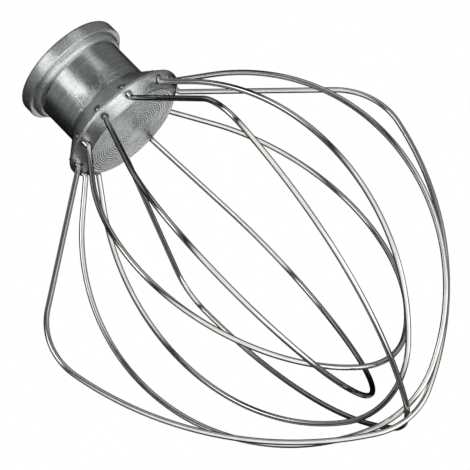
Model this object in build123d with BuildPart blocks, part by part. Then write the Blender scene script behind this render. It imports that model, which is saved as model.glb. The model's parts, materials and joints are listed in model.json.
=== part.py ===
# Wire whisk for a stand mixer: a turned hub with a bayonet bore carries six bent wire loops.
# Lengths in millimetres. The hub points up, its axis is Z and its top face lies at Z = 0.
import os
from math import acos, cos, degrees, radians, sin, tan
from typing import NamedTuple

from build123d import *

os.makedirs("parts", exist_ok=True)

# Collar at the top of the hub, and the rounded step under it
collar_d = 35.7
collar_h = 4.6
collar_round = 1.2
collar_edge = 0.4
step_proud = 1.7
step_h = 2.2
step_round = 1.4

# Barrel, flare and rim
barrel_d = 29.2
barrel_h = 13.4
barrel_fillet = 0.15
flare_angle = 46.0
flare_fillet = 1.2
rim_d = 42.0
rim_h = 0.85
rim_round = 0.4
rim_edge = 0.3

# Bevel that the wires leave from, down to the flat end face
bevel_w = 4.2
bevel_h = 3.1
face_edge = 0.3

# Drive bore for the mixer's shaft, with the bayonet way for its cross pin
shaft_d = 12.7
shaft_clearance = 0.1
bore_depth = 25.0
pin_d = 4.8
pin_reach = 11.1
pin_clearance = 0.3
way_depth = 12.0
lock_turn = 60.0

# Wire and its holes in the rim
wire_d = 1.65
hole_clearance = 0.08
hole_inset = 1.6
wire_sink = 0.2  # how far the middle of a wire's end lies under the flare
bend_drop = 0.75
bend_r = 1.4

# Whisk depth, from the hub's top face to the wire centre at the lowest tip
whisk_depth = 151.4
loop_pitch = 30.0


class LoopForm(NamedTuple):
    """Form of one loop, the same on both sides of its own middle line."""

    half_width: float
    splay: float  # angle of the straight run from the hub's axis
    shoulder_r: float
    shoulder_turn: float  # how far the shoulder arc runs on past the widest point
    tip_r: float
    tip_lift: float  # height of the tip above the lowest tip
    swing: float  # turn about the hub's axis from the even pitch
    lean: float  # turn within the loop's own plane
    cant: float  # tilt of the loop's plane out of the axis


loop_forms = {
    "loop_1": LoopForm(
        half_width=51.1, splay=49.8, shoulder_r=63.5, shoulder_turn=0.0,
        tip_r=30.0, tip_lift=3.4, swing=1.4, lean=-1.1, cant=-0.65,
    ),
    "loop_2": LoopForm(
        half_width=63.1, splay=50.2, shoulder_r=21.2, shoulder_turn=12.7,
        tip_r=21.5, tip_lift=0.0, swing=-3.7, lean=1.1, cant=-2.0,
    ),
    "loop_3": LoopForm(
        half_width=45.6, splay=43.8, shoulder_r=57.0, shoulder_turn=0.0,
        tip_r=29.0, tip_lift=17.1, swing=-1.4, lean=-2.8, cant=-2.8,
    ),
    "loop_4": LoopForm(
        half_width=53.9, splay=42.0, shoulder_r=41.5, shoulder_turn=0.0,
        tip_r=40.5, tip_lift=13.6, swing=0.0, lean=3.0, cant=2.55,
    ),
    "loop_5": LoopForm(
        half_width=64.2, splay=54.5, shoulder_r=15.5, shoulder_turn=6.3,
        tip_r=24.5, tip_lift=1.2, swing=-1.3, lean=-1.5, cant=0.5,
    ),
    "loop_6": LoopForm(
        half_width=44.6, splay=43.1, shoulder_r=67.5, shoulder_turn=0.0,
        tip_r=29.0, tip_lift=9.4, swing=5.2, lean=-1.0, cant=-0.75,
    ),
}

# Heights and radii that follow from the sizes above
barrel_r = barrel_d / 2
rim_r = rim_d / 2
step_r = barrel_r + step_proud
step_z = -(collar_h + step_h)
flare_z = step_z - barrel_h
flare_slope = tan(radians(flare_angle))
rim_z = flare_z - (rim_r - barrel_r) / flare_slope
bevel_z = rim_z - rim_h
face_z = bevel_z - bevel_h
bore_r = shaft_d / 2 + shaft_clearance
way_w = pin_d + 2 * pin_clearance
way_r = pin_reach + pin_clearance
hole_r = rim_r - hole_inset
hole_d = wire_d + 2 * hole_clearance
hole_top_z = flare_z - (hole_r - barrel_r) / flare_slope
bend_z = bevel_z - hole_inset * bevel_h / bevel_w - bend_drop
wire_top_z = hole_top_z - wire_sink


def loop_plane(index, form):
    """Plane of a loop: X runs across the hub and Y up, from the middle of its two bends."""
    turned = Rot(0, 0, index * loop_pitch + form.swing) * Rot(form.cant, 0, 0) * Rot(0, form.lean, 0)
    return Plane(Pos(0, 0, bend_z) * turned * Rot(90, 0, 0))


def hole_points(index, form):
    """Centres of a loop's two holes, straight above its bends."""
    plane = loop_plane(index, form)
    return [plane.from_local_coords((side * hole_r, 0)) for side in (1, -1)]


def loop_arcs(form):
    """Length of the straight run, and radius and angle of each arc from there down to the tip."""
    splay = radians(form.splay)
    turn = radians(form.shoulder_turn)
    run = (form.half_width - form.shoulder_r * (1 - cos(splay)) - hole_r) / sin(splay)
    drop = whisk_depth - form.tip_lift + bend_z
    below = drop - run * cos(splay) - form.shoulder_r * sin(splay) - form.tip_r
    over = form.shoulder_r - form.tip_r
    inset = form.half_width - form.shoulder_r
    rise = (below**2 - over**2 + inset**2) / (2 * (over + inset * cos(turn) - below * sin(turn)))
    flank_r = form.shoulder_r + rise
    flank_end = degrees(acos((rise * cos(turn) - inset) / (flank_r - form.tip_r)))
    arcs = [
        (form.shoulder_r, form.splay + form.shoulder_turn),
        (flank_r, flank_end - form.shoulder_turn),
        (form.tip_r, 90 - flank_end),
    ]
    return run, arcs


# Hub: one turned profile, then the bore, the bayonet way and the wire holes
with BuildPart() as hub:
    with BuildSketch(Plane.XZ):
        with BuildLine():
            collar = FilletPolyline(
                (0, 0),
                (collar_d / 2, 0),
                (collar_d / 2, -collar_h),
                (step_r, -collar_h),
                radius=(collar_round, collar_edge),
            )
            body = FilletPolyline(
                collar @ 1,
                (step_r, step_z),
                (barrel_r, step_z),
                (barrel_r, flare_z),
                (rim_r, rim_z),
                (rim_r, bevel_z),
                (rim_r - bevel_w, face_z),
                (0, face_z),
                radius=(step_round, barrel_fillet, flare_fillet, rim_round, rim_edge, face_edge),
            )
            Line(body @ 1, collar @ 0)
        make_face()
    revolve(axis=Axis.Z)

    with BuildSketch(Plane.XY):
        Circle(bore_r)
    extrude(amount=-bore_depth, mode=Mode.SUBTRACT)

    with BuildSketch(Plane.XY):
        Rectangle(way_r, way_w, align=(Align.MIN, Align.CENTER))
    extrude(amount=-way_depth, mode=Mode.SUBTRACT)

    with BuildSketch(Plane.XZ):
        with BuildLine():
            Polyline(
                (0, -way_depth),
                (way_r, -way_depth),
                (way_r, way_w - way_depth),
                (0, way_w - way_depth),
                close=True,
            )
        make_face()
    revolve(axis=Axis.Z, revolution_arc=lock_turn, mode=Mode.SUBTRACT)

    with BuildSketch(Plane.XY.offset(face_z)):
        for index, form in enumerate(loop_forms.values()):
            with Locations(*[(point.X, point.Y) for point in hole_points(index, form)]):
                Circle(hole_d / 2)
    extrude(amount=flare_z - face_z, mode=Mode.SUBTRACT)

hub.part.label = "hub"
export_step(hub.part, "parts/hub.step")

# Loops: each a single wire, up through one hole, round its form and back into the opposite hole
for index, (name, form) in enumerate(loop_forms.items()):
    plane = loop_plane(index, form)
    near, far = hole_points(index, form)
    near_top = Vector(near.X, near.Y, wire_top_z)
    far_top = Vector(far.X, far.Y, wire_top_z)
    run, arcs = loop_arcs(form)
    out = run * sin(radians(form.splay))
    down = run * cos(radians(form.splay))

    with BuildPart() as loop:
        with BuildLine(plane):
            line = FilletPolyline(near_top, near, (hole_r + out, -down), radius=bend_r)
            for radius, angle in arcs + arcs[::-1]:
                line = JernArc(line @ 1, line % 1, radius, -angle)
            FilletPolyline(line @ 1, far, far_top, radius=bend_r)
        with BuildSketch(Plane(near_top, z_dir=(0, 0, -1))):
            Circle(wire_d / 2)
        sweep()

    loop.part.label = name
    export_step(loop.part, f"parts/{name}.step")
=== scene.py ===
# %% [markdown]
# # A wire whisk for a stand mixer
# A turned aluminium hub carries six loops of polished steel wire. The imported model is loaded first, as
# a frame that never moves: the new pieces are built where its nodes are, and then stand for them.

# %% Load the frame
import json
from math import acos, atan2, ceil, cos, degrees, pi, radians, sin, tan
from typing import NamedTuple

import bpy
from mathutils import Matrix, Quaternion, Vector


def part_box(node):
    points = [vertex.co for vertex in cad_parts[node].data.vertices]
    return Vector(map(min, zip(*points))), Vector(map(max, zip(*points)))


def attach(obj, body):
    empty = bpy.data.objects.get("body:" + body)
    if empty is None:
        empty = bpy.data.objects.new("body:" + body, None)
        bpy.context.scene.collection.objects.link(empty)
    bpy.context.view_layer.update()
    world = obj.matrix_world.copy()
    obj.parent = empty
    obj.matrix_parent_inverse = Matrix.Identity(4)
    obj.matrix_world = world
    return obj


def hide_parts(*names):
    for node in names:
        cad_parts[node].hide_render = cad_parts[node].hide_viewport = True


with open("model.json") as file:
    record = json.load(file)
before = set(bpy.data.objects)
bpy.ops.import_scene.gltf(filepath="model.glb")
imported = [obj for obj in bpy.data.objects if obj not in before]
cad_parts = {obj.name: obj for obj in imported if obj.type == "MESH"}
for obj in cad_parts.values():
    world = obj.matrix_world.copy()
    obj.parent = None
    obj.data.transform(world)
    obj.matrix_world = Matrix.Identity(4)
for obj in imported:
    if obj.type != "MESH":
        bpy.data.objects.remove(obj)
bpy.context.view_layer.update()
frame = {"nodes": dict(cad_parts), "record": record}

mm = 0.001
print("nodes:", sorted(frame["nodes"]))

# %% [markdown]
# ## The camera
# The whisk is seen from slightly below its hub, lying across the picture from corner to corner. The
# camera is turned about its own line of sight for that, and the whisk keeps its upright frame. A long
# lens keeps the far loops nearly as large as the near ones.

# %% Camera at the photograph's viewing angle
view_azimuth = radians(7.8)
view_elevation = radians(-16.647)
view_roll = radians(44.421)
view_distance = 640.0 * mm
view_target = Vector((-0.463, 5.833, -74.25)) * mm
view_lens = 165.83

line_of_sight = Vector((
    -sin(view_azimuth) * cos(view_elevation),
    cos(view_azimuth) * cos(view_elevation),
    -sin(view_elevation),
))
aim = line_of_sight.to_track_quat("-Z", "Y") @ Quaternion((0, 0, 1), -view_roll)
bpy.ops.object.select_all(action="DESELECT")
bpy.ops.object.camera_add(location=view_target - line_of_sight * view_distance, rotation=aim.to_euler())
camera = bpy.context.object
camera.name = "camera"
camera.data.lens = view_lens
camera.data.clip_start = 10 * mm
bpy.context.scene.camera = camera
print("camera at", [round(c / mm, 1) for c in camera.location], "mm")

# %% [markdown]
# ## The studio
# The whisk lies before plain white. The world is white to whatever looks at it, and dimmer as a light,
# so that the background stays white without more light on the whisk. The floor glows a little in the
# same way, and lies well below, so that the view up at the hub never meets it.

# %% World
white = (1.0, 1.0, 1.0, 1.0)
fill_light = (0.55, 0.55, 0.55, 1.0)


def add_node(tree, kind, links=None, **settings):
    """A node with its settings made, and its inputs linked or set by name or number."""
    node = tree.nodes.new(kind)
    for key, value in settings.items():
        setattr(node, key, value)
    for key, value in (links or {}).items():
        if isinstance(value, bpy.types.NodeSocket):
            tree.links.new(value, node.inputs[key])
        else:
            node.inputs[key].default_value = value
    return node


def seen_directly(tree):
    """1 for rays of the camera, of mirrors and of glass, and 0 for the light that falls on things."""
    path = add_node(tree, "ShaderNodeLightPath")
    mirror = add_node(
        tree, "ShaderNodeMath", {0: path.outputs["Is Camera Ray"], 1: path.outputs["Is Glossy Ray"]},
        operation="MAXIMUM",
    )
    glass = add_node(
        tree, "ShaderNodeMath", {0: mirror.outputs[0], 1: path.outputs["Is Transmission Ray"]},
        operation="MAXIMUM",
    )
    return glass.outputs[0]


bpy.context.scene.view_settings.view_transform = "Standard"
world = bpy.data.worlds.new("studio")
world.use_nodes = True
world.node_tree.nodes.clear()
bpy.context.scene.world = world
backdrop = add_node(world.node_tree, "ShaderNodeBackground", {"Color": white, "Strength": 1.0})
fill = add_node(world.node_tree, "ShaderNodeBackground", {"Color": fill_light, "Strength": 1.0})
either = add_node(
    world.node_tree, "ShaderNodeMixShader",
    {0: seen_directly(world.node_tree), 1: fill.outputs[0], 2: backdrop.outputs[0]},
)
add_node(world.node_tree, "ShaderNodeOutputWorld", {"Surface": either.outputs[0]})
print("world:", world.name, "with", len(world.node_tree.nodes), "nodes")

# %% Floor
floor_z = -600.0 * mm
floor_width = 6000.0 * mm
floor_colour = (0.85, 0.85, 0.85, 1.0)
floor_glow = 0.55


def new_material(name):
    """A material with an empty node tree, and its tree."""
    material = bpy.data.materials.new(name)
    material.use_nodes = True
    material.node_tree.nodes.clear()
    return material, material.node_tree


floor_paint, tree = new_material("floor_paint")
paint = add_node(tree, "ShaderNodeBsdfDiffuse", {"Color": floor_colour})
glow = add_node(tree, "ShaderNodeEmission", {"Color": white, "Strength": 1.0})
share = add_node(tree, "ShaderNodeMath", {0: seen_directly(tree), 1: floor_glow}, operation="MULTIPLY")
coat = add_node(tree, "ShaderNodeMixShader", {0: share.outputs[0], 1: paint.outputs[0], 2: glow.outputs[0]})
add_node(tree, "ShaderNodeOutputMaterial", {"Surface": coat.outputs[0]})

bpy.ops.object.select_all(action="DESELECT")
bpy.ops.mesh.primitive_plane_add(size=floor_width, location=(0, 0, floor_z))
floor = bpy.context.object
floor.name = "floor"
floor.data.materials.append(floor_paint)
print("floor", round(-floor_z / mm), "mm below the hub's top face")

# %% [markdown]
# ## The tent
# Each wire in the photograph has a white core between dark edges, and the barrel has one sharp white
# streak and a fainter one. Metal shows that where it stands in a dark tent with pale panels: a wide one
# low in front, a softbox on the left, a narrow strip on the right, a low one at the back for the end
# face, and grey cloth elsewhere. The tent is a sphere that glows by direction. Only mirror rays see it,
# so it hides neither the background nor the light on the floor.

# %% Panels of the tent
class Panel(NamedTuple):
    """A soft-edged panel: bearings from the front (-Y) towards +X and up, and sizes, in degrees."""

    azimuth: float
    elevation: float
    half_width: float
    half_height: float
    side_edge: float
    top_edge: float
    brightness: float


dark_cloth = 0.02
panels = {
    "front": Panel(14, -40, 62, 44, 16, 14, 1.05),
    "front_floor": Panel(52, -62, 52, 26, 16, 14, 1.5),
    "low_front": Panel(68, -78, 34, 12, 12, 6, 1.8),
    "softbox": Panel(-16, 30, 17, 11, 5, 6, 2.2),
    "strip": Panel(62, 30, 10, 15, 8, 10, 0.8),
    "left_glow": Panel(-54, 28, 26, 14, 44, 12, 0.3),
    "middle_cloth": Panel(75, 26, 80, 12, 20, 10, 0.2),
    "left_cloth": Panel(-96, -10, 24, 20, 14, 12, 0.22),
    "right_cloth": Panel(118, -12, 30, 24, 10, 10, 0.32),
    "right_floor": Panel(138, -64, 30, 16, 14, 12, 0.25),
    "back_cloth": Panel(186, -24, 22, 14, 6, 6, 0.6),
    "back_strip": Panel(188, -24, 6, 18, 5, 6, 1.7),
    "left_floor": Panel(-110, -64, 40, 20, 20, 16, 0.1),
    "roof": Panel(0, 90, 180, 30, 10, 20, 0.24),
}
print(len(panels), "panels:", ", ".join(panels))


# %% Cloth that glows by direction
def calc(tree, operation, *values):
    """The output of a math node on links or numbers."""
    return add_node(tree, "ShaderNodeMath", dict(enumerate(values)), operation=operation).outputs[0]


def fade(tree, distance, half_size, edge):
    """1 well within half_size and 0 well outside, over a soft edge."""
    settings = {
        "Value": distance, "From Min": half_size - edge / 2, "From Max": half_size + edge / 2,
        "To Min": 1.0, "To Max": 0.0,
    }
    return add_node(tree, "ShaderNodeMapRange", settings, interpolation_type="SMOOTHSTEP").outputs[0]


tent_cloth, tree = new_material("tent_cloth")
place = add_node(tree, "ShaderNodeTexCoord").outputs["Object"]
outward = add_node(tree, "ShaderNodeVectorMath", {0: place}, operation="NORMALIZE").outputs[0]
x, y, z = add_node(tree, "ShaderNodeSeparateXYZ", {0: outward}).outputs
azimuth = calc(tree, "DEGREES", calc(tree, "ARCTAN2", x, calc(tree, "MULTIPLY", y, -1.0)))
elevation = calc(tree, "DEGREES", calc(tree, "ARCSINE", z))
glow = dark_cloth
for panel in panels.values():
    bearing = calc(tree, "WRAP", calc(tree, "SUBTRACT", azimuth, panel.azimuth), 180, -180)
    aside = calc(tree, "ABSOLUTE", bearing)
    above = calc(tree, "ABSOLUTE", calc(tree, "SUBTRACT", elevation, panel.elevation))
    lit = calc(
        tree, "MULTIPLY",
        fade(tree, aside, panel.half_width, panel.side_edge),
        fade(tree, above, panel.half_height, panel.top_edge),
    )
    glow = calc(tree, "MAXIMUM", glow, calc(tree, "MULTIPLY", lit, panel.brightness))
cloth = add_node(tree, "ShaderNodeEmission", {"Color": white, "Strength": glow})
add_node(tree, "ShaderNodeOutputMaterial", {"Surface": cloth.outputs[0]})
print(tent_cloth.name, "with", len(tree.nodes), "nodes")

# %% Tent round the whisk, for mirror rays only
tent_r = 520.0 * mm
tent_centre = Vector((0, 0, -60.0 * mm))

bpy.ops.object.select_all(action="DESELECT")
bpy.ops.mesh.primitive_uv_sphere_add(segments=96, ring_count=48, radius=tent_r, location=tent_centre)
tent = bpy.context.object
tent.name = "tent"
tent.data.materials.append(tent_cloth)
for kind in ("camera", "diffuse", "transmission", "volume_scatter", "shadow"):
    setattr(tent, "visible_" + kind, False)
print("tent", round(2 * tent_r / mm), "mm across")

# %% [markdown]
# ## The lamp
# The metal gets its light from the tent, but the floor needs light of its own for the whisk's soft
# shadow. One wide square lamp hangs high in front, and is hidden from the camera and from the metal.

# %% Lamp for the floor and its shadow
def square_lamp(name, azimuth, elevation, distance, width, radiance):
    """A square lamp that faces the whisk, as bright to look at as radiance times white."""
    azimuth, elevation = radians(azimuth), radians(elevation)
    away = Vector((sin(azimuth) * cos(elevation), -cos(azimuth) * cos(elevation), sin(elevation)))
    bpy.ops.object.select_all(action="DESELECT")
    bpy.ops.object.light_add(
        type="AREA", location=tent_centre + away * distance, rotation=away.to_track_quat("Z", "Y").to_euler()
    )
    lamp = bpy.context.object
    lamp.name = name
    lamp.data.shape = "SQUARE"
    lamp.data.size = width
    lamp.data.energy = radiance * pi * width**2
    lamp.visible_camera = False
    lamp.visible_glossy = False
    return lamp


top_lamp = square_lamp(
    "top_lamp", azimuth=30, elevation=75, distance=1400 * mm, width=900 * mm, radiance=3.0
)
print("lamp:", top_lamp.name, "with", round(top_lamp.data.energy, 2), "W")

# %% [markdown]
# ## The hub
# The hub is turned from the solid: collar, step, barrel, flare, rim, bevel and end face are one
# outline. It is drawn with a single vertex as a pen, extruded along the straight lines and spun about
# the centre of each rounded corner, and the whole outline is then spun about the hub's axis, as a lathe
# does it.

# %% Sizes of the hub
hub_low, hub_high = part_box("hub")
mounts = {mount["name"]: mount for mount in frame["record"]["mounts"]}
bore_r = mounts["drive_bore"]["dims"]["r_mm"] * mm
bore_depth = mounts["drive_bore"]["dims"]["length_mm"] * mm
rim_r = hub_high.x
face_z = hub_low.z

collar_r = 17.85 * mm
collar_h = 4.6 * mm
collar_round = 1.2 * mm
collar_edge = 0.4 * mm
step_proud = 1.7 * mm
step_h = 2.2 * mm
step_round = 1.4 * mm
barrel_r = 14.6 * mm
barrel_h = 13.4 * mm
barrel_fillet = 0.15 * mm
flare_angle = radians(46.0)
flare_fillet = 1.2 * mm
rim_round = 0.4 * mm
rim_edge = 0.3 * mm
bevel_w = 4.2 * mm
bevel_h = 3.1 * mm
face_edge = 0.3 * mm

step_r = barrel_r + step_proud
step_z = -(collar_h + step_h)
flare_z = step_z - barrel_h
rim_z = flare_z - (rim_r - barrel_r) / tan(flare_angle)
bevel_z = face_z + bevel_h
print("rim", round(2 * rim_r / mm, 2), "mm across, end face at", round(face_z / mm, 2), "mm")

# %% A pen that draws outlines
arc_step = radians(9)


def select_only(piece):
    """Makes a piece the only one selected, in object mode."""
    if bpy.context.mode != "OBJECT":
        bpy.ops.object.mode_set(mode="OBJECT")
    bpy.ops.object.select_all(action="DESELECT")
    piece.select_set(True)
    bpy.context.view_layer.objects.active = piece


def start_outline(name, point):
    """A new piece that is one vertex, ready in edit mode."""
    bpy.ops.object.select_all(action="DESELECT")
    bpy.ops.mesh.primitive_plane_add(size=mm)
    bpy.context.object.name = name
    bpy.ops.object.mode_set(mode="EDIT")
    bpy.ops.mesh.select_mode(type="VERT")
    bpy.ops.mesh.merge(type="CENTER")
    bpy.ops.transform.translate(value=point)
    return point


def line_to(pen, point):
    """A straight line from the pen to a point, where the pen then is."""
    bpy.ops.mesh.extrude_region_move(TRANSFORM_OT_translate={"value": point - pen})
    return point


def arc_about(pen, centre, turn):
    """Turns about centre, in the XZ plane, anticlockwise seen from the front. Spin counts the other way."""
    bpy.ops.mesh.spin(steps=max(3, ceil(abs(turn) / arc_step)), angle=turn, center=centre, axis=(0, 1, 0))
    return centre + Matrix.Rotation(-turn, 3, "Y") @ (pen - centre)


def rounded_lines(pen, corners):
    """Lines through corners given as (r, z, rounding), each rounded by an arc, to the last one."""
    for (r, z, rounding), (next_r, next_z, _) in zip(corners, corners[1:]):
        corner = Vector((r, 0, z))
        before = (corner - pen).normalized()
        after = (Vector((next_r, 0, next_z)) - corner).normalized()
        turn = atan2(before.x * after.z - before.z * after.x, before.dot(after))
        if rounding:
            pen = line_to(pen, corner - before * rounding * tan(abs(turn) / 2))
            side = Vector((-before.z, 0, before.x)) * (1 if turn > 0 else -1)
            pen = arc_about(pen, pen + side * rounding, turn)
        else:
            pen = line_to(pen, corner)
    return line_to(pen, Vector((corners[-1][0], 0, corners[-1][1])))


print("arcs are drawn in steps of", round(degrees(arc_step)), "degrees at most")

# %% [markdown]
# ## The hub's outline
# The outline runs from the floor of the bore over the collar and the barrel to the middle of the end
# face. The lathe's tool has left rings on the end face, so there the line rises and falls in small even
# waves.

# %% Outline of the hub, from the floor of the bore to the middle of the end face
ring_pitch = 0.75 * mm
ring_depth = 0.06 * mm
ring_points = 6

pen = start_outline("turned_hub", Vector((0, 0, -bore_depth)))
pen = rounded_lines(pen, [
    (bore_r, -bore_depth, 0),
    (bore_r, 0, 0),
    (collar_r, 0, collar_round),
    (collar_r, -collar_h, collar_edge),
    (step_r, -collar_h, 0),
    (step_r, step_z, step_round),
    (barrel_r, step_z, barrel_fillet),
    (barrel_r, flare_z, flare_fillet),
    (rim_r, rim_z, rim_round),
    (rim_r, bevel_z, rim_edge),
    (rim_r - bevel_w, face_z, face_edge),
    (rim_r - bevel_w - ring_pitch, face_z, 0),
])
rings_r = pen.x
rings = int(rings_r / ring_pitch)
for step in range(1, rings * ring_points + 1):
    depth = ring_depth * (1 - cos(2 * pi * step / ring_points)) / 2
    pen = line_to(pen, Vector((pen.x - ring_pitch / ring_points, 0, face_z + depth)))
pen = line_to(pen, Vector((0, 0, face_z)))
print("end face with", rings, "turned rings")

# %% Turn the outline about the hub's axis
lathe_steps = 240
merge_gap = 0.001 * mm


def close_and_face_out():
    """Merges what a spin left double, and turns all faces outwards."""
    bpy.ops.mesh.select_all(action="SELECT")
    bpy.ops.mesh.remove_doubles(threshold=merge_gap)
    bpy.ops.mesh.normals_make_consistent(inside=False)


bpy.ops.mesh.select_all(action="SELECT")
bpy.ops.mesh.spin(steps=lathe_steps, angle=2 * pi, center=(0, 0, 0), axis=(0, 0, 1))
close_and_face_out()
bpy.ops.object.mode_set(mode="OBJECT")
hub = bpy.context.object
print("hub turned:", len(hub.data.polygons), "faces")

# %% [markdown]
# ## The bayonet way
# The mixer's shaft has a cross pin. It drops down a slot beside the bore and turns into a pocket, where
# it locks. A slot and a pocket are milled after turning, so here they are cut by two shapes with the
# boolean modifier: a box, and a rectangle spun through the locking turn.

# %% Slot and pocket for the cross pin
way_w = 5.4 * mm
way_r = 11.4 * mm
way_depth = 12.0 * mm
lock_turn = radians(60.0)
pocket_steps = 30
overcut = 1.0 * mm


def cut_away(piece, cutter):
    """Takes the cutter's shape out of the piece, and removes the cutter."""
    select_only(piece)
    bpy.ops.object.modifier_add(type="BOOLEAN")
    piece.modifiers[-1].object = cutter
    piece.modifiers[-1].operation = "DIFFERENCE"
    piece.modifiers[-1].solver = "EXACT"
    bpy.ops.object.modifier_apply(modifier=piece.modifiers[-1].name)
    bpy.data.objects.remove(cutter)


def closed_outline(name, points):
    """A flat face with straight edges through points, ready in edit mode."""
    pen = start_outline(name, points[0])
    for point in points[1:] + points[:1]:
        pen = line_to(pen, point)
    bpy.ops.mesh.select_all(action="SELECT")
    bpy.ops.mesh.remove_doubles(threshold=merge_gap)
    bpy.ops.mesh.select_all(action="SELECT")
    bpy.ops.mesh.edge_face_add()


slot_start = bore_r / 2
closed_outline("slot", [
    Vector((slot_start, -way_w / 2, overcut)),
    Vector((way_r, -way_w / 2, overcut)),
    Vector((way_r, way_w / 2, overcut)),
    Vector((slot_start, way_w / 2, overcut)),
])
bpy.ops.mesh.extrude_region_move(TRANSFORM_OT_translate={"value": (0, 0, -way_depth - overcut)})
close_and_face_out()
bpy.ops.object.mode_set(mode="OBJECT")
cut_away(hub, bpy.context.object)

closed_outline("pocket", [
    Vector((slot_start, 0, -way_depth)),
    Vector((way_r, 0, -way_depth)),
    Vector((way_r, 0, way_w - way_depth)),
    Vector((slot_start, 0, way_w - way_depth)),
])
bpy.ops.mesh.spin(steps=pocket_steps, angle=-lock_turn, center=(0, 0, 0), axis=(0, 0, 1))
close_and_face_out()
bpy.ops.object.mode_set(mode="OBJECT")
cut_away(hub, bpy.context.object)
print("hub with slot and pocket:", len(hub.data.polygons), "faces")

# %% [markdown]
# ## Forms of the loops
# Each loop is one wire. It starts in a hole of the rim, bends out of the bevel, runs straight, and then
# follows a shoulder arc, a flank arc and a tip arc, the same on both sides. The flank is the arc that
# touches both of its neighbours, so its radius and length follow from the others.

# %% Wire and its holes
wire_d = 1.65 * mm
hole_d = 1.81 * mm
hole_inset = 1.6 * mm
wire_sink = 0.2 * mm
bend_drop = 0.75 * mm
bend_r = 1.4 * mm
loop_pitch = radians(30.0)

hole_r = rim_r - hole_inset
hole_top_z = flare_z - (hole_r - barrel_r) / tan(flare_angle)
wire_top_z = hole_top_z - wire_sink
bend_z = bevel_z - hole_inset * bevel_h / bevel_w - bend_drop
print("holes", round(2 * hole_r / mm, 2), "mm apart, bends at", round(bend_z / mm, 2), "mm")


# %% The six forms
class LoopForm(NamedTuple):
    """Form of one loop, the same on both sides of its middle line, in millimetres and degrees."""

    half_width: float
    splay: float  # angle of the straight run from the hub's axis
    shoulder_r: float
    shoulder_turn: float  # how far the shoulder arc runs on past the widest point
    tip_r: float
    tip_lift: float  # height of the tip above the lowest tip
    swing: float  # turn about the hub's axis from the even pitch
    lean: float  # turn within the loop's own plane
    cant: float  # tilt of the loop's plane out of the axis


loop_forms = {
    "loop_1": LoopForm(51.1, 49.8, 63.5, 0.0, 30.0, 3.4, 1.4, -1.1, -0.65),
    "loop_2": LoopForm(63.1, 50.2, 21.2, 12.7, 21.5, 0.0, -3.7, 1.1, -2.0),
    "loop_3": LoopForm(45.6, 43.8, 57.0, 0.0, 29.0, 17.1, -1.4, -2.8, -2.8),
    "loop_4": LoopForm(53.9, 42.0, 41.5, 0.0, 40.5, 13.6, 0.0, 3.0, 2.55),
    "loop_5": LoopForm(64.2, 54.5, 15.5, 6.3, 24.5, 1.2, -1.3, -1.5, 0.5),
    "loop_6": LoopForm(44.6, 43.1, 67.5, 0.0, 29.0, 9.4, 5.2, -1.0, -0.75),
}
whisk_depth = 151.4 * mm
print("widest loop", 2 * max(form.half_width for form in loop_forms.values()), "mm across")


# %% Arcs of each form
def loop_arcs(form):
    """Length of the straight run, and radius and angle of each arc from there down to the tip."""
    splay, turn = radians(form.splay), radians(form.shoulder_turn)
    half_width, shoulder_r, tip_r = form.half_width * mm, form.shoulder_r * mm, form.tip_r * mm
    run = (half_width - shoulder_r * (1 - cos(splay)) - hole_r) / sin(splay)
    drop = whisk_depth - form.tip_lift * mm + bend_z
    below = drop - run * cos(splay) - shoulder_r * sin(splay) - tip_r
    over = shoulder_r - tip_r
    inset = half_width - shoulder_r
    rise = (below**2 - over**2 + inset**2) / (2 * (over + inset * cos(turn) - below * sin(turn)))
    flank_r = shoulder_r + rise
    flank_end = acos((rise * cos(turn) - inset) / (flank_r - tip_r))
    return run, [(shoulder_r, splay + turn), (flank_r, flank_end - turn), (tip_r, pi / 2 - flank_end)]


for name, form in loop_forms.items():
    run, arcs = loop_arcs(form)
    sizes = [(round(radius / mm, 1), round(degrees(angle), 1)) for radius, angle in arcs]
    print(name, "run", round(run / mm, 1), "arcs", sizes)

# %% [markdown]
# ## The holes in the rim
# Twelve holes are drilled straight through the rim, two for each loop, where its bends come up to the
# bevel. One drill is modelled, and a copy of it is cut away at each place.

# %% Holes in the rim
hole_sides = 32
hub_smooth = radians(25)


def loop_turn(index, form):
    """How a loop's own plane, with X across the hub and Z up, is turned in the frame."""
    return (
        Matrix.Rotation(index * loop_pitch + radians(form.swing), 3, "Z")
        @ Matrix.Rotation(radians(form.cant), 3, "X")
        @ Matrix.Rotation(radians(form.lean), 3, "Y")
    )


def loop_point(index, form, across, up):
    """A point of a loop's plane, measured from the middle of its two bends."""
    return Vector((0, 0, bend_z)) + loop_turn(index, form) @ Vector((across, 0, up))


bpy.ops.object.select_all(action="DESELECT")
bpy.ops.mesh.primitive_circle_add(vertices=hole_sides, radius=hole_d / 2, fill_type="NGON")
drill = bpy.context.object
bpy.ops.object.mode_set(mode="EDIT")
bpy.ops.mesh.extrude_region_move(TRANSFORM_OT_translate={"value": (0, 0, flare_z - face_z + overcut)})
bpy.ops.mesh.select_all(action="SELECT")
bpy.ops.mesh.normals_make_consistent(inside=False)
bpy.ops.object.mode_set(mode="OBJECT")

hole_centres = [
    loop_point(index, form, side * hole_r, 0)
    for index, form in enumerate(loop_forms.values())
    for side in (1, -1)
]
for centre in hole_centres:
    select_only(drill)
    bpy.ops.object.duplicate()
    bpy.context.object.location = (centre.x, centre.y, face_z - overcut)
    bpy.ops.object.transform_apply(location=True)
    cut_away(hub, bpy.context.object)
bpy.data.objects.remove(drill)
select_only(hub)
bpy.ops.object.shade_smooth_by_angle(angle=hub_smooth)
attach(hub, "root")
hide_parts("hub")
print("hub with", len(hole_centres), "holes:", len(hub.data.polygons), "faces")

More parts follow.
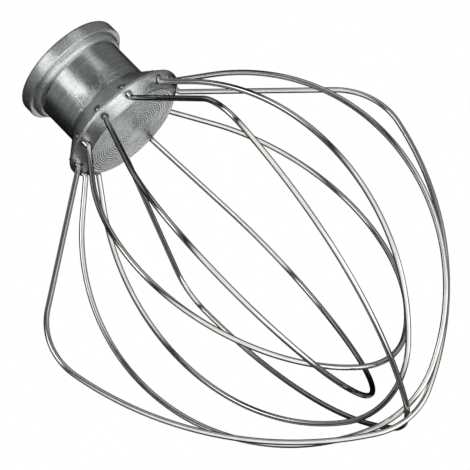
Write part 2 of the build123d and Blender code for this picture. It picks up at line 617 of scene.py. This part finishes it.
# %% [markdown]
# ## The wire loops
# A wire is bent on a machine that feeds it forward and turns it about pins. The same is done here to a
# circle of vertices: it is extruded along each straight run and spun about the pin of each bend, with
# its position and direction followed on the way. Each ring of vertices also notes how far along the
# wire it lies, so that the marks of the drawing die can follow the wire.

# %% A bender for the wire
wire_sides = 24
bend_step = radians(2.0)


class Bender:
    """Feeds a ring of vertices along a wire's line, in edit mode."""

    def __init__(self, start, direction):
        bpy.ops.object.select_all(action="DESELECT")
        bpy.ops.mesh.primitive_circle_add(vertices=wire_sides, radius=wire_d / 2, fill_type="NOTHING")
        bpy.ops.object.mode_set(mode="EDIT")
        bpy.ops.transform.translate(value=start)
        self.at = start
        self.direction = direction
        self.along = [0.0]

    def feed(self, length):
        """Straight on, by a length."""
        bpy.ops.mesh.extrude_region_move(TRANSFORM_OT_translate={"value": self.direction * length})
        self.at = self.at + self.direction * length
        self.along.append(self.along[-1] + length)

    def bend(self, radius, angle, axis):
        """A right-handed turn about axis. Spin counts the other way, so it gets the axis reversed."""
        pin = self.at + axis.cross(self.direction) * radius
        steps = max(6, ceil(angle / bend_step))
        bpy.ops.mesh.spin(steps=steps, angle=angle, center=pin, axis=-axis)
        turn = Matrix.Rotation(angle, 3, axis)
        self.at = pin + turn @ (self.at - pin)
        self.direction = turn @ self.direction
        self.along += [self.along[-1] + radius * angle * (step + 1) / steps for step in range(steps)]


print("wire", round(wire_d / mm, 2), "mm thick, with", wire_sides, "sides")

# %% The path of one loop
up = Vector((0, 0, 1))


def bend_loop(name, index, form):
    """One whole loop, from its end on the flare round to the opposite end."""
    turned = loop_turn(index, form)
    splay = radians(form.splay)
    out = turned @ Vector((sin(splay), 0, -cos(splay)))
    back = turned @ Vector((sin(splay), 0, cos(splay)))
    near = loop_point(index, form, hole_r, 0)
    far = loop_point(index, form, -hole_r, 0)
    run, arcs = loop_arcs(form)
    near_turn = (-up).angle(out)
    far_turn = back.angle(up)
    near_trim = bend_r * tan(near_turn / 2)
    far_trim = bend_r * tan(far_turn / 2)

    bender = Bender(Vector((near.x, near.y, wire_top_z)), -up)
    bender.feed(wire_top_z - near.z - near_trim)
    bender.bend(bend_r, near_turn, (-up).cross(out).normalized())
    bender.feed(run - near_trim)
    for radius, angle in arcs + arcs[::-1]:
        bender.bend(radius, angle, turned @ Vector((0, 1, 0)))
    bender.feed(run - far_trim)
    bender.bend(bend_r, far_turn, back.cross(up).normalized())
    bender.feed(wire_top_z - far.z - far_trim)
    bpy.ops.object.mode_set(mode="OBJECT")

    wire = bpy.context.object
    wire.name = "wire_" + name
    mark = wire.data.attributes.new("drawn", "FLOAT_VECTOR", "POINT")
    for number in range(len(wire.data.vertices)):
        ring, side = divmod(number, wire_sides)
        around = 2 * pi * side / wire_sides
        mark.data[number].vector = (cos(around), sin(around), bender.along[ring] / mm)
    missed = (bender.at - Vector((far.x, far.y, wire_top_z))).length
    return wire, bender.along[-1], missed


print("bends of", round(bend_r / mm, 1), "mm under the bevel, ends at", round(wire_top_z / mm, 2), "mm")

# %% [markdown]
# ## The ends of the wires
# Each wire is cut off square and its edge broken, so that it slides into its hole. The ends show as
# small dots on the flare. Both are closed with a face, and the edge round it gets a small bevel.

# %% Bend the six loops and round their ends
end_round = 0.35 * mm
wire_smooth = radians(40)


def close_ends(wire):
    """Closes both ends of a wire with a face and rounds their edges."""
    select_only(wire)
    bpy.ops.object.mode_set(mode="EDIT")
    bpy.ops.mesh.select_all(action="SELECT")
    bpy.ops.mesh.fill_holes(sides=0)
    bpy.ops.mesh.select_mode(type="FACE")
    bpy.ops.mesh.select_all(action="DESELECT")
    bpy.ops.mesh.select_face_by_sides(number=wire_sides, type="EQUAL")
    bpy.ops.mesh.region_to_loop()
    bpy.ops.mesh.bevel(offset=end_round, segments=4, affect="EDGES")
    bpy.ops.mesh.select_all(action="SELECT")
    bpy.ops.mesh.normals_make_consistent(inside=False)
    bpy.ops.object.mode_set(mode="OBJECT")
    bpy.ops.object.shade_smooth_by_angle(angle=wire_smooth)


wires = []
for index, (name, form) in enumerate(loop_forms.items()):
    wire, length, missed = bend_loop(name, index, form)
    close_ends(wire)
    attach(wire, "root")
    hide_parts(name)
    wires.append(wire)
    print(wire.name, round(length / mm, 1), "mm of wire, ends", round(missed / mm, 4), "mm from its hole")

# %% [markdown]
# ## Turned aluminium
# A lathe leaves fine rings about the axis, and burnishing lays them flat in places. On this hub every
# ring lies at one height and one radius, so noise is stretched along them: it changes fast with height
# and radius, and slowly round the axis. Finer and coarser noise gives the mottled, the burnished and
# the grained spots.

# %% Noise for the hub's finish
rings_to_metre = 5200.0  # steps of noise to the metre of height
radial_share = 2.7  # how much closer the rings of a flat face lie
spots_round = 60.0  # steps of noise to the metre along a ring


def coordinates(tree):
    """Place on the piece, in its own frame."""
    return add_node(tree, "ShaderNodeTexCoord").outputs["Object"]


def noise(tree, vector, scale, detail=2.0, roughness=0.5):
    """Soft noise, with so many spots to each unit of the vector."""
    settings = {"Vector": vector, "Scale": scale, "Detail": detail, "Roughness": roughness}
    return add_node(tree, "ShaderNodeTexNoise", settings).outputs["Fac"]


turned_aluminium, tree = new_material("turned_aluminium")
place = coordinates(tree)
x, y, z = add_node(tree, "ShaderNodeSeparateXYZ", {0: place}).outputs
radius = calc(tree, "SQRT", calc(tree, "MULTIPLY_ADD", x, x, calc(tree, "MULTIPLY", y, y)))
ring = calc(tree, "MULTIPLY", calc(tree, "MULTIPLY_ADD", radius, radial_share, z), rings_to_metre)
round_x = calc(tree, "MULTIPLY", x, spots_round)
round_y = calc(tree, "MULTIPLY", y, spots_round)
stretched = add_node(tree, "ShaderNodeCombineXYZ", {0: round_x, 1: round_y, 2: ring}).outputs[0]
fine_rings = noise(tree, stretched, scale=1.0, detail=3.0, roughness=0.6)
mottle = noise(tree, place, scale=2000.0, detail=1.0)
burnish = noise(tree, place, scale=160.0)
grain = noise(tree, place, scale=1500.0, roughness=0.6)
print("noise for rings, mottle, burnishing and grain:", len(tree.nodes), "nodes")

# %% [markdown]
# ## Where each finish and each painted shade lies
# The collar and its step are blasted, and the foot below the barrel is paler than the barrel. The
# grooves of the end face are darkened with painted shade, the metal round each wire is darkened with
# painted shade and a smudge, and the barrel is dented low down. Height tells the zones apart, the
# radius gives the painted shade in the grooves, and the distance from each hole gives the shade round it.

# %% Masks for the zones of the hub
hole_shade_and_smudge_r = 1.2 * mm
hole_shade_and_smudge_edge = 0.7 * mm
face_band = 0.2 * mm
dented_h = 12.0 * mm
dented_edge = 8.0 * mm


def spread(tree, value, low, high):
    """A noise value, mostly 0.3 to 0.7, laid out between low and high."""
    settings = {"Value": value, "From Min": 0.3, "From Max": 0.7, "To Min": low, "To Max": high}
    return add_node(tree, "ShaderNodeMapRange", settings).outputs[0]


on_collar = calc(tree, "GREATER_THAN", z, step_z)
on_foot = calc(tree, "LESS_THAN", z, flare_z)
on_bevel = calc(tree, "LESS_THAN", z, bevel_z)
on_face = calc(tree, "LESS_THAN", z, face_z + face_band)
on_flare = calc(tree, "SUBTRACT", on_foot, on_bevel)

groove_turns = calc(tree, "MULTIPLY", calc(tree, "SUBTRACT", radius, rings_r), 2 * pi / ring_pitch)
# Painted shade in the turned grooves of the end face, darkest at the bottom of each groove.
painted_groove_shade = calc(tree, "MULTIPLY_ADD", calc(tree, "COSINE", groove_turns), -0.5, 0.5)
painted_groove_shade = calc(tree, "MULTIPLY", painted_groove_shade, on_face)

level = add_node(tree, "ShaderNodeCombineXYZ", {0: x, 1: y}).outputs[0]
# Painted shade and a smudge round each hole where a wire enters: darkest at the hole, fading outwards.
hole_shade_and_smudge = 0.0
for centre in hole_centres:
    ends = {0: level, 1: (centre.x, centre.y, 0)}
    away = add_node(tree, "ShaderNodeVectorMath", ends, operation="DISTANCE").outputs["Value"]
    hole_shade_and_smudge = calc(tree, "MAXIMUM", hole_shade_and_smudge, fade(tree, away, hole_shade_and_smudge_r, hole_shade_and_smudge_edge))

low_down = fade(tree, calc(tree, "SUBTRACT", z, face_z), bevel_z - face_z + dented_h, dented_edge)
patches = calc(tree, "MULTIPLY", low_down, spread(tree, burnish, 0.0, 1.0))
print("grooves on the end face and smudges round", len(hole_centres), "holes")

# %% [markdown]
# ## Relief and roughness
# The rings, the dents and the collar's grain are too fine and shallow for the mesh, so the material
# gives them as bump. The bevel has been rubbed nearly smooth. Blasted and smudged metal is rougher than
# turned metal, and the flare is rougher than the barrel.

# %% Relief and roughness of the hub
relief_depth = 0.13 * mm

dents = calc(tree, "MULTIPLY", mottle, calc(tree, "MULTIPLY_ADD", patches, 3.0, 0.5))
dents = calc(tree, "MULTIPLY", dents, calc(tree, "MULTIPLY_ADD", on_bevel, -0.85, 1.0))
relief = calc(tree, "MULTIPLY_ADD", fine_rings, 0.4, dents)
relief = calc(tree, "MULTIPLY_ADD", calc(tree, "MULTIPLY", grain, on_collar), 0.7, relief)
bump = add_node(tree, "ShaderNodeBump", {"Strength": 0.8, "Distance": relief_depth, "Height": relief})

rough = calc(tree, "ADD", spread(tree, mottle, 0.14, 0.22), spread(tree, burnish, -0.03, 0.05))
rough = calc(tree, "MULTIPLY_ADD", on_collar, 0.16, rough)
rough = calc(tree, "MULTIPLY_ADD", hole_shade_and_smudge, 0.2, rough)
rough = calc(tree, "MULTIPLY_ADD", on_flare, 0.15, rough)
print("relief in units of", round(relief_depth / mm, 2), "mm")

# %% [markdown]
# ## Colour of the hub
# Turned rings blur a reflection across them, so the metal is anisotropic about the hub's axis. The
# photograph shows a thin dark outline round the hub: seen edge on, metal mirrors the unlit side of the
# room. A ramp by facing darkens the colour there, and so does Specular Tint, which on metal is the tint
# of the edge.

# %% Colours and shader of the hub
def tint(tree, value, dark, light):
    """A colour between dark and light, by a noise value."""
    ramp = add_node(tree, "ShaderNodeValToRGB", {"Fac": value})
    ramp.color_ramp.elements[0].color = dark
    ramp.color_ramp.elements[1].color = light
    ramp.color_ramp.elements[0].position = 0.3
    ramp.color_ramp.elements[1].position = 0.7
    return ramp.outputs["Color"]


def blend(tree, factor, first, second):
    """A colour that goes from first to second as factor goes from 0 to 1."""
    return add_node(tree, "ShaderNodeMix", {0: factor, 6: first, 7: second}, data_type="RGBA").outputs[2]


def edge_on(tree, start, end, share):
    """0 where a surface faces the eye, and share where it is seen edge on."""
    facing = add_node(tree, "ShaderNodeLayerWeight", {"Blend": 0.5}).outputs["Facing"]
    settings = {"Value": facing, "From Min": start, "From Max": end, "To Max": share}
    return add_node(tree, "ShaderNodeMapRange", settings, interpolation_type="SMOOTHSTEP").outputs[0]


turned_colour = tint(tree, fine_rings, (0.48, 0.505, 0.505, 1.0), (0.74, 0.775, 0.77, 1.0))
blasted_colour = tint(tree, grain, (0.64, 0.665, 0.66, 1.0), (0.96, 0.99, 0.985, 1.0))
foot_colour = tint(tree, fine_rings, (0.6, 0.625, 0.62, 1.0), (0.92, 0.955, 0.95, 1.0))
colour = blend(tree, on_collar, turned_colour, blasted_colour)
colour = blend(tree, on_foot, colour, foot_colour)
# Painted shade: the end face's grooves are darkened towards near black.
colour = blend(tree, calc(tree, "MULTIPLY", painted_groove_shade, 0.8), colour, (0.14, 0.145, 0.14, 1.0))
# Painted shade, together with a smudge, darkens the metal round each wire hole.
colour = blend(tree, calc(tree, "MULTIPLY", hole_shade_and_smudge, 0.9), colour, (0.08, 0.08, 0.08, 1.0))
colour = blend(tree, edge_on(tree, 0.85, 0.97, 0.85), colour, (0.03, 0.03, 0.03, 1.0))
around = add_node(tree, "ShaderNodeTangent", direction_type="RADIAL", axis="Z")
metal = add_node(
    tree, "ShaderNodeBsdfPrincipled",
    {
        "Base Color": colour,
        "Metallic": 1.0,
        "Specular Tint": (0.3, 0.3, 0.3, 1.0),
        "Roughness": rough,
        "Anisotropic": 0.85,
        "Anisotropic Rotation": 0.25,
        "Tangent": around.outputs[0],
        "Normal": bump.outputs[0],
    },
)
add_node(tree, "ShaderNodeOutputMaterial", {"Surface": metal.outputs[0]})
hub.data.materials.append(turned_aluminium)
print(turned_aluminium.name, "on", hub.name, "with", len(tree.nodes), "nodes")

# %% [markdown]
# ## Polished wire
# Drawn wire keeps faint lines along its length even after polishing. The attribute that the bender left
# gives the place round and along the wire, so the lines run with it through every bend. Its dark edges
# come as those of the hub do, and reach farther in, because a thin wire turns away from the eye so
# soon.

# %% Material of the wire
die_line_depth = 0.02 * mm
die_line_stretch = (9.0, 9.0, 0.05)  # across the wire, across it, and to each millimetre along it

polished_wire, tree = new_material("polished_wire")
drawn = add_node(tree, "ShaderNodeAttribute", attribute_name="drawn").outputs["Vector"]
stretched = {0: drawn, 1: die_line_stretch}
along = add_node(tree, "ShaderNodeVectorMath", stretched, operation="MULTIPLY").outputs[0]
die_lines = noise(tree, along, scale=1.0, detail=3.0, roughness=0.6)
smears = noise(tree, coordinates(tree), scale=260.0)
rough = calc(tree, "ADD", spread(tree, die_lines, 0.06, 0.12), spread(tree, smears, -0.02, 0.05))
lines = {"Strength": 0.15, "Distance": die_line_depth, "Height": die_lines}
bump = add_node(tree, "ShaderNodeBump", lines)
colour = tint(tree, smears, (0.68, 0.69, 0.655, 1.0), (0.8, 0.81, 0.77, 1.0))
colour = blend(tree, edge_on(tree, 0.35, 0.85, 0.9), colour, (0.05, 0.05, 0.05, 1.0))
metal = add_node(
    tree, "ShaderNodeBsdfPrincipled",
    {
        "Base Color": colour,
        "Metallic": 1.0,
        "Specular Tint": (0.3, 0.3, 0.3, 1.0),
        "Roughness": rough,
        "Normal": bump.outputs[0],
    },
)
add_node(tree, "ShaderNodeOutputMaterial", {"Surface": metal.outputs[0]})
for wire in wires:
    wire.data.materials.append(polished_wire)
print(polished_wire.name, "on", len(wires), "loops")
